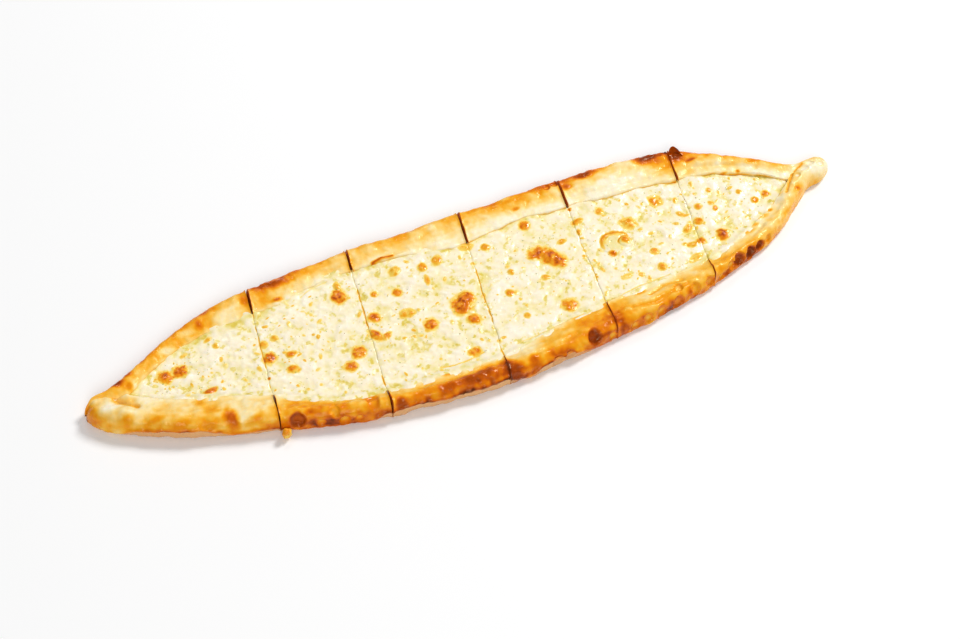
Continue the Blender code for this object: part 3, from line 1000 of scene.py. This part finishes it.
def add_spots(flat, spots, rim, z, toast_and_shade):
    """The toasted spots, with uneven edges and grain, each in a golden halo and swollen a little."""
    grain = layered_noise(flat, 1.9, 64, 2)
    low, high = flat[..., 0].min(), flat[..., 0].max()
    for x, y, radius, toasted, stretch, turn in spots:
        if not low - 10 < x < high + 10:
            continue
        away = spot_distance(flat, x, y, radius, stretch, turn) + 0.42 * rim
        dark = toasted * (0.74 + 0.18 * step_between(0.85, 0.25, away)) + min(0.40, 0.10 * radius) * grain
        toast_and_shade = np.maximum(toast_and_shade, dark * step_between(1.20, 0.84, away))
        toast_and_shade = np.maximum(toast_and_shade, 0.30 * min(1.0, radius / 2.5) * step_between(1.8, 1.0, away))
        z += min(SPOT_SWELL_MOST, SPOT_SWELL * radius) * step_between(1.2, 0.3, away)
    return z, toast_and_shade


def add_bubbles(flat, lumps, rim, z, toast_and_shade, clear):
    """The swollen bubbles: clearer than the rest, sunk round the edge and toasted at the back."""
    for x, y, radius, rise, toasted in BUBBLES:
        away = np.hypot(flat[..., 0] - x, flat[..., 1] - y) / radius + 0.16 * lumps + 0.10 * rim
        z += rise * np.sqrt(np.clip(1 - away**2, 0, 1)) - 0.25 * bell(away - 1.05, 0.12)
        clear = np.maximum(clear, 0.62 * step_between(1.05, 0.6, away))
        behind = np.clip(0.35 + (flat[..., 1] - y) / radius, 0, 1)
        toast_and_shade = np.maximum(toast_and_shade, toasted * bell(away - 0.93, 0.09 + 0.07 * behind) * behind**0.5)
        browned = np.clip(0.75 + 0.5 * rim, 0, 1) * step_between(0.2, 0.8, away)
        browned *= step_between(1.05, 0.95, away)
        toast_and_shade = np.maximum(toast_and_shade, 0.72 * toasted * behind * browned)
    return z, toast_and_shade, clear


def cheese_surface(flat, spots):
    """Height, toasting and clearness of the cheese at points in plan; the clearness is partly painted shade
    in the hollows.
    """
    broad = lattice_noise(flat, 15.0, 41)
    lumps = lattice_noise(flat, 7.0, 42)
    small = lattice_noise(flat, 2.8, 43)
    right_end = step_between(70.0, 170.0, flat[..., 0])
    z = CHEESE_TOP + 0.35 * broad + (0.52 + 0.45 * right_end) * lumps + 0.30 * small
    # Partly painted shade: the hollows are painted clearer and greener and the lumps whiter, beside the
    # clear cheese that pools low.
    clear = 0.37 - (0.20 + 0.14 * right_end) * lumps - 0.22 * small + 0.26 * layered_noise(flat, 8.0, 46, 3)
    patches = layered_noise(flat, 3.4, 52, 3)
    gathered = layered_noise(flat, 2.4, 57, 2)
    clear += 0.46 * step_between(0.14, 0.34, patches) * step_between(-0.4, 0.3, gathered)
    toast_and_shade = 0.05 + 0.05 * layered_noise(flat, 5.0, 51, 3)
    rim = layered_noise(flat, 3.2, 61, 3)
    z, toast_and_shade = add_spots(flat, spots, rim, z, toast_and_shade)
    z, toast_and_shade, clear = add_bubbles(flat, lumps, rim, z, toast_and_shade, clear)
    for path, width, depth, toasted in CREASES:
        inside = bell(beside_path(flat, path) + 0.3 * rim, width)
        z -= depth * inside
        toast_and_shade = np.maximum(toast_and_shade, toasted * inside)
    return z, toast_and_shade, clear


def cut_waver(number, y):
    """How far a cut through the cheese strays from its straight line."""
    at = np.stack((np.full_like(y, 37.0 * number), y, np.zeros_like(y)), axis=-1)
    return 0.45 * lattice_noise(at, 9.0, 47) + 0.25 * lattice_noise(at, 3.0, 48)


def cheese_side(planes, share, opened, edge_y, outward):
    """The cheese's side wall, from its top edge down, for every ring."""
    shares, heights = np.array(CHEESE_SIDE).T
    y = edge_y + outward * SIDE_BULGE * opened[:, None] * shares
    return ring_points(planes, share, y, heights + 0 * y)


def cheese_plan(number, planes, share, opened, left, right):
    """x and y of the cheese's top, and how far each point is inside the line of the nearer lip."""
    front_lip, back_lip = meeting(planes, share, FRONT_LIP), meeting(planes, share, BACK_LIP)
    middle = (front_lip + back_lip) / 2
    overlap = (OVER_LIP_AT_CUT + OVER_LIP * (1 - bell(np.minimum(left, right), 2.5))) * opened
    half = opened * (back_lip - front_lip) / 2 + overlap
    steps = np.linspace(-1.0, 1.0, int(2 * half.max() / CHEESE_STEP))
    y = middle[:, None] + half[:, None] * steps
    inside_lip = half[:, None] * (1 - np.abs(steps)) - overlap[:, None]
    x = place(planes, share[:, None], y)
    x = x + cut_waver(number - 1, y) * bell(left, 4.0)[:, None] * (number > 1)
    x = x + cut_waver(number, y) * bell(right, 4.0)[:, None] * (number < SLICES)
    return x, y, inside_lip


def juice_and_shade_by_cuts(number, flat, left, right):
    """How dark and brown the cheese is along the slice's two cuts: partly juice, partly painted shade."""
    left_cut_tone = CUT_JUICE_AND_SHADE[max(number - 2, 0)]
    right_cut_tone = CUT_JUICE_AND_SHADE[min(number - 1, SLICES - 2)]
    nearer = np.where(left < right, left_cut_tone, right_cut_tone)[:, None]
    to_cut = np.minimum(left, right)[:, None]
    browned = step_between(-0.15, 0.35, lattice_noise(flat, 6.0, 45)) * nearer
    return (0.20 * nearer + 0.36 * browned) * bell(to_cut, 0.32 + 0.35 * browned)


def cheese_slice(number, materials, spots):
    """The cheese of one slice: a soft lumpy sheet with toasted bubbles."""
    ends = (HOLLOW_ENDS[0] + CHEESE_END_GAP, HOLLOW_ENDS[1] - CHEESE_END_GAP)
    planes = slice_planes(number, ends, sagged_plane)
    share = shares_along(number, planes, CHEESE_STEP)
    middle_x = place(planes, share, np.zeros_like(share))
    opened = np.maximum(quarter_round(middle_x, ends, HOLLOW_ROUND), 0.1)
    left, right = from_cuts(number, planes, share)
    x, y, inside_lip = cheese_plan(number, planes, share, opened, left, right)
    flat = np.stack((x, y, np.zeros_like(x)), axis=-1)
    z, toast_and_shade, clear = cheese_surface(flat, spots)
    across = x.shape[1]
    front = np.arange(across) < across // 2
    cover = np.where(front, steady_value(COVER, 1, x), steady_value(COVER, 2, x))
    at_lip = step_between(4.5, -0.5, inside_lip)
    z += (cover + 0.7 * layered_noise(flat, 11.0, 44, 2)) * at_lip
    # Partly painted shade: the cheese is painted clearer and greener next to the lips, beside its thin
    # clear edge; less on the right, where the back lip's own step casts shade.
    clear += np.where(front, 0.16, 0.36 - 0.1 * right_share(x)) * bell(inside_lip + 0.6, 2.8)
    # Painted shade: the browner line along each cut is partly juice in the seam, partly painted shade where
    # the cut has sagged shut.
    toast_and_shade = np.maximum(toast_and_shade, juice_and_shade_by_cuts(number, flat, left, right))
    z -= 0.35 * bell(np.minimum(left, right)[:, None], 0.6)
    top = np.stack((x, y, z), axis=-1)

    back_side = cheese_side(planes, share, opened, y[:, -1:], 1)
    front_side = cheese_side(planes, share, opened, y[:, :1], -1)
    bottom_y = between(back_side[:, -1, 1], front_side[:, -1, 1], FLOOR_POINTS)
    bottom = ring_points(planes, share, bottom_y, np.full_like(bottom_y, CHEESE_BOTTOM))
    points = np.concatenate((top, back_side, bottom, front_side[:, ::-1]), axis=1)
    values = {"toast_and_shade": np.zeros(points.shape[:2]), "clear": np.full(points.shape[:2], 0.4)}
    values["toast_and_shade"][:, :across] = toast_and_shade
    values["clear"][:, :across] = clear
    made = ring_mesh(f"cheese_sheet_{number}", points, values, materials)
    stand_for(made, "cheese", f"cheese_{number}")


def right_share(x):
    """0 on the left half of the pide and 1 on the right, where the back lip stands clear."""
    return step_between(-10.0, 15.0, x)


def herb_flecks(name, count, sizes, seed, material, spots):
    """Flat scraps of herb lying on the cheese, joined in one mesh."""
    x, y, rng = scattered(count, seed)
    flat = np.stack((x, y, np.zeros(count)), axis=-1)
    z = cheese_surface(flat, spots)[0] + 0.05
    points, faces = [], []
    for middle in np.stack((x, y, z), axis=-1):
        radius = rng.uniform(*sizes)
        angle = np.linspace(0, 2 * np.pi, FLECK_CORNERS, endpoint=False) + rng.uniform(0, 1)
        reach = radius * rng.uniform(0.6, 1.2, FLECK_CORNERS)
        rim = np.stack((reach * np.cos(angle), 0.6 * reach * np.sin(angle), 0 * angle), axis=-1)
        tips = np.array(((0, 0, 0.3 * radius), (0, 0, -0.3 * radius)))
        tilt = Euler((rng.uniform(-0.4, 0.4), rng.uniform(-0.4, 0.4), rng.uniform(0, 6)))
        turned = np.concatenate((rim, tips)) @ np.array(tilt.to_matrix()).T
        first = len(points) * (FLECK_CORNERS + 2)
        points.append(turned + middle)
        for k in range(FLECK_CORNERS):
            following = (k + 1) % FLECK_CORNERS
            faces.append((first + k, first + following, first + FLECK_CORNERS))
            faces.append((first + following, first + k, first + FLECK_CORNERS + 1))
    made = mesh_object(name, np.concatenate(points), faces, [material])
    stand_for(made, "cheese")


def make_drip(cheese):
    """The set drop of cheese at the first cut."""
    low, high = (np.array(corner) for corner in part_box("cheese_drip"))
    around, rows = 48, 30
    angle = np.linspace(0, 2 * np.pi, around, endpoint=False)
    tilt = np.linspace(0.03, np.pi - 0.03, rows)
    unit = np.stack((
        np.sin(tilt)[:, None] * np.cos(angle),
        np.sin(tilt)[:, None] * np.sin(angle),
        np.cos(tilt)[:, None] * np.ones(around),
    ), axis=-1)
    centre = (low + high) / 2 / MM - TO_PACKED_FRAME
    points = centre + unit * (high - low) / 2 / MM
    points += 0.9 * creased_noise(points, 3.2, 71)[..., None] * unit
    points[..., 2] = np.maximum(points[..., 2], 0.0)
    toast_and_shade = 0.46 + 0.22 * lattice_noise(points, 3.0, 72)
    values = {"toast_and_shade": toast_and_shade, "clear": 0 * toast_and_shade + 0.9}
    made = ring_mesh("drip_of_cheese", points[::-1], values, [cheese])
    stand_for(made, "cheese", "cheese_drip")


# ---------------------------------------------------------------------------------------------
# Materials


def linear(red, green, blue):
    """A colour on the 0 to 255 screen scale as linear light."""
    values = np.array((red, green, blue)) / 255
    low = values / 12.92
    high = ((values + 0.055) / 1.055) ** 2.4
    return (*np.where(values <= 0.04045, low, high), 1.0)


def grey(value):
    return (value, value, value, 1.0)


def new_material(name):
    material = bpy.data.materials.new(name)
    material.use_nodes = True
    tree = material.node_tree
    return material, tree, tree.nodes["Principled BSDF"]


def noise_node(tree, scale, detail, roughness=0.5):
    """Noise in the object's own space; scale is in lumps per metre."""
    place_node = tree.nodes.new("ShaderNodeTexCoord")
    made = tree.nodes.new("ShaderNodeTexNoise")
    made.inputs["Scale"].default_value = scale
    made.inputs["Detail"].default_value = detail
    made.inputs["Roughness"].default_value = roughness
    tree.links.new(place_node.outputs["Object"], made.inputs["Vector"])
    return made.outputs["Fac"]


def ramp(tree, value, stops):
    """A colour ramp through (position, colour) stops."""
    made = tree.nodes.new("ShaderNodeValToRGB")
    elements = made.color_ramp.elements
    while len(elements) < len(stops):
        elements.new(0.5)
    for element, (position, colour) in zip(elements, stops):
        element.position = position
        element.color = colour
    tree.links.new(value, made.inputs["Fac"])
    return made.outputs["Color"]


def math_node(tree, operation, first, second):
    made = tree.nodes.new("ShaderNodeMath")
    made.operation = operation
    for socket, value in zip(made.inputs, (first, second)):
        if isinstance(value, (int, float)):
            socket.default_value = value
        else:
            tree.links.new(value, socket)
    return made.outputs[0]


def mix_colours(tree, share, first, second):
    made = tree.nodes.new("ShaderNodeMix")
    made.data_type = "RGBA"
    for socket, value in ((made.inputs[0], share), (made.inputs[6], first), (made.inputs[7], second)):
        if isinstance(value, tuple):
            socket.default_value = value
        else:
            tree.links.new(value, socket)
    return made.outputs[2]


def bump(tree, shader, height, strength, distance):
    made = tree.nodes.new("ShaderNodeBump")
    made.inputs["Strength"].default_value = strength
    made.inputs["Distance"].default_value = distance
    tree.links.new(height, made.inputs["Height"])
    tree.links.new(made.outputs["Normal"], shader.inputs["Normal"])


def attribute(tree, name):
    made = tree.nodes.new("ShaderNodeAttribute")
    made.attribute_name = name
    return made.outputs["Fac"]


def stirred(tree, name, scale, detail, strength):
    """A point value of the mesh, with a little noise finer than the mesh."""
    offset = math_node(tree, "SUBTRACT", noise_node(tree, scale, detail), 0.5)
    return math_node(tree, "ADD", attribute(tree, name), math_node(tree, "MULTIPLY", offset, strength))


def uneven_gloss(tree, shader, scale, glossy, dull):
    stops = ((0.35, grey(glossy)), (0.65, grey(dull)))
    tree.links.new(ramp(tree, noise_node(tree, scale, 3), stops), shader.inputs["Roughness"])


# This ramp also turns the painted shade and the painted highlight in the dough's baking values into colour.
BAKE_COLOURS = (
    (0.00, linear(253, 243, 214)),
    (0.12, linear(254, 228, 164)),
    (0.25, linear(253, 206, 110)),
    (0.38, linear(249, 184, 58)),
    (0.50, linear(244, 160, 18)),
    (0.65, linear(230, 126, 4)),
    (0.78, linear(200, 90, 2)),
    (0.90, linear(148, 56, 1)),
    (1.00, linear(90, 32, 1)),
)
FOOT_COLOUR = linear(226, 172, 116)
# The clearer end of this ramp also shows painted shade in the hollows and by the lips.
CLEAR_COLOURS = (
    (0.10, linear(254, 243, 220)),
    (0.45, linear(250, 236, 196)),
    (0.68, linear(240, 223, 146)),
    (1.00, linear(224, 198, 82)),
)
# This ramp also shows the painted shade along the cuts.
TOAST_COLOURS = (
    (0.15, linear(252, 232, 150)),
    (0.30, linear(247, 206, 86)),
    (0.45, linear(242, 174, 40)),
    (0.62, linear(238, 146, 8)),
    (0.80, linear(222, 114, 2)),
    (1.00, linear(168, 70, 2)),
)
TOAST_STARTS = ((0.10, grey(0.0)), (0.26, grey(1.0)))


def dough_skin():
    """Egg-glazed dough, from pale to burnt; the same ramp also shows the painted shade and the painted
    highlight carried in the dough's baking values.
    """
    material, tree, shader = new_material("baked_dough")
    browned = ramp(tree, stirred(tree, "bake_and_painted_light", 420, 3, 0.10), BAKE_COLOURS)
    colour = mix_colours(tree, attribute(tree, "foot"), browned, FOOT_COLOUR)
    tree.links.new(colour, shader.inputs["Base Color"])
    uneven_gloss(tree, shader, 160, 0.13, 0.34)
    shader.inputs["Specular IOR Level"].default_value = 0.28
    shader.inputs["Specular Tint"].default_value = linear(255, 232, 190)
    shader.inputs["Subsurface Weight"].default_value = 0.05
    shader.inputs["Subsurface Scale"].default_value = 0.002
    bump(tree, shader, noise_node(tree, 420, 3), 0.35, 0.0009)
    return material


def crumb_painted_shade():
    """The soft inside of the dough, at the cuts, in orange-brown: partly browned dough, partly painted
    shade of the narrow cuts.
    """
    material, tree, shader = new_material("dough_crumb_painted_shade")
    # Painted shade: these colours are darker than the pale inside of bread, for the shade in the narrow
    # cuts.
    stops = ((0.3, linear(196, 84, 6)), (0.7, linear(236, 150, 40)))
    mottled = ramp(tree, noise_node(tree, 400, 3), stops)
    tree.links.new(mottled, shader.inputs["Base Color"])
    shader.inputs["Roughness"].default_value = 0.7
    bump(tree, shader, noise_node(tree, 900, 2), 0.4, 0.0008)
    return material


def melted_cheese():
    """Cream-white cheese with clearer, greener patches, toasted in spots; the greener and browner tones
    also carry painted shade in the hollows, by the lips and along the cuts.
    """
    material, tree, shader = new_material("melted_cheese")
    toasted = stirred(tree, "toast_and_shade", 650, 2, 0.05)
    base = ramp(tree, stirred(tree, "clear", 500, 3, 0.22), CLEAR_COLOURS)
    browned = ramp(tree, toasted, TOAST_COLOURS)
    colour = mix_colours(tree, ramp(tree, toasted, TOAST_STARTS), base, browned)
    tree.links.new(colour, shader.inputs["Base Color"])
    uneven_gloss(tree, shader, 200, 0.12, 0.32)
    shader.inputs["Specular IOR Level"].default_value = 0.32
    shader.inputs["Subsurface Weight"].default_value = 0.05
    shader.inputs["Subsurface Scale"].default_value = 0.002
    bump(tree, shader, noise_node(tree, 420, 3), 0.30, 0.0007)
    return material


def herb(name, colour, darker):
    """A dull herb or pepper skin that varies between two colours."""
    material, tree, shader = new_material(name)
    mottled = ramp(tree, noise_node(tree, 300, 2), ((0.35, darker), (0.65, colour)))
    tree.links.new(mottled, shader.inputs["Base Color"])
    shader.inputs["Roughness"].default_value = 0.5
    return material


# ---------------------------------------------------------------------------------------------
# Stage, light and camera


def make_floor():
    """A plain pale floor just under the pide."""
    material, tree, shader = new_material("floor")
    shader.inputs["Base Color"].default_value = grey(0.97)
    shader.inputs["Roughness"].default_value = 0.9
    shader.inputs["Specular IOR Level"].default_value = 0.1
    half = 4000.0
    corners = np.array(((-half, -half, 0), (half, -half, 0), (half, half, 0), (-half, half, 0)))
    floor = mesh_object("floor", corners, [(0, 1, 2, 3)], [material])
    floor.location.z = -0.0002


def area_light(name, place_at, size, power):
    """A white square lamp that points at the pide."""
    data = bpy.data.lights.new(name, "AREA")
    data.energy = power
    data.size = size
    lamp = bpy.data.objects.new(name, data)
    lamp.location = place_at
    lamp.rotation_euler = (-Vector(place_at)).to_track_quat("-Z", "Y").to_euler()
    bpy.context.scene.collection.objects.link(lamp)


def make_light():
    area_light("key", (2.3, 0.9, 2.5), 0.9, 83)
    area_light("glint", (0.5, 2.0, 2.3), 0.5, 7)
    area_light("fill", (-1.0, -2.4, 2.2), 1.6, 42)
    world = bpy.data.worlds.new("studio")
    world.use_nodes = True
    world.node_tree.nodes["Background"].inputs["Color"].default_value = grey(1.0)
    world.node_tree.nodes["Background"].inputs["Strength"].default_value = 0.30
    bpy.context.scene.world = world


def make_camera():
    """The camera looks down at the pide's front from its left, rolled a little."""
    right = Vector((0.91152, -0.40879, 0.04503))
    up = Vector((0.30043, 0.73664, 0.60589))
    data = bpy.data.cameras.new("camera")
    data.lens = 75.67
    data.sensor_width = 36.0
    camera = bpy.data.objects.new("camera", data)
    camera.matrix_world = Matrix((right, up, right.cross(up))).transposed().to_4x4()
    camera.matrix_world.translation = Vector((-0.38758, -0.73934, 1.06982))
    bpy.context.scene.collection.objects.link(camera)
    bpy.context.scene.camera = camera


def main():
    make_camera()
    make_floor()
    make_light()
    skin, inside, cheese = dough_skin(), crumb_painted_shade(), melted_cheese()
    spots = all_spots()
    for number in range(1, SLICES + 1):
        dough_slice(number, [skin, inside])
        cheese_slice(number, [cheese], spots)
    make_drip(cheese)
    make_flake(skin)
    green = herb("green_herb", linear(206, 208, 120), linear(164, 172, 84))
    brown = herb("brown_herb", linear(222, 168, 96), linear(176, 116, 52))
    herb_flecks("herb_flecks", GREEN_FLECKS, (0.35, 0.75), 8, green, spots)
    herb_flecks("pepper_flecks", BROWN_FLECKS, (0.25, 0.45), 9, brown, spots)
    bpy.context.scene.view_settings.view_transform = "Standard"


main()
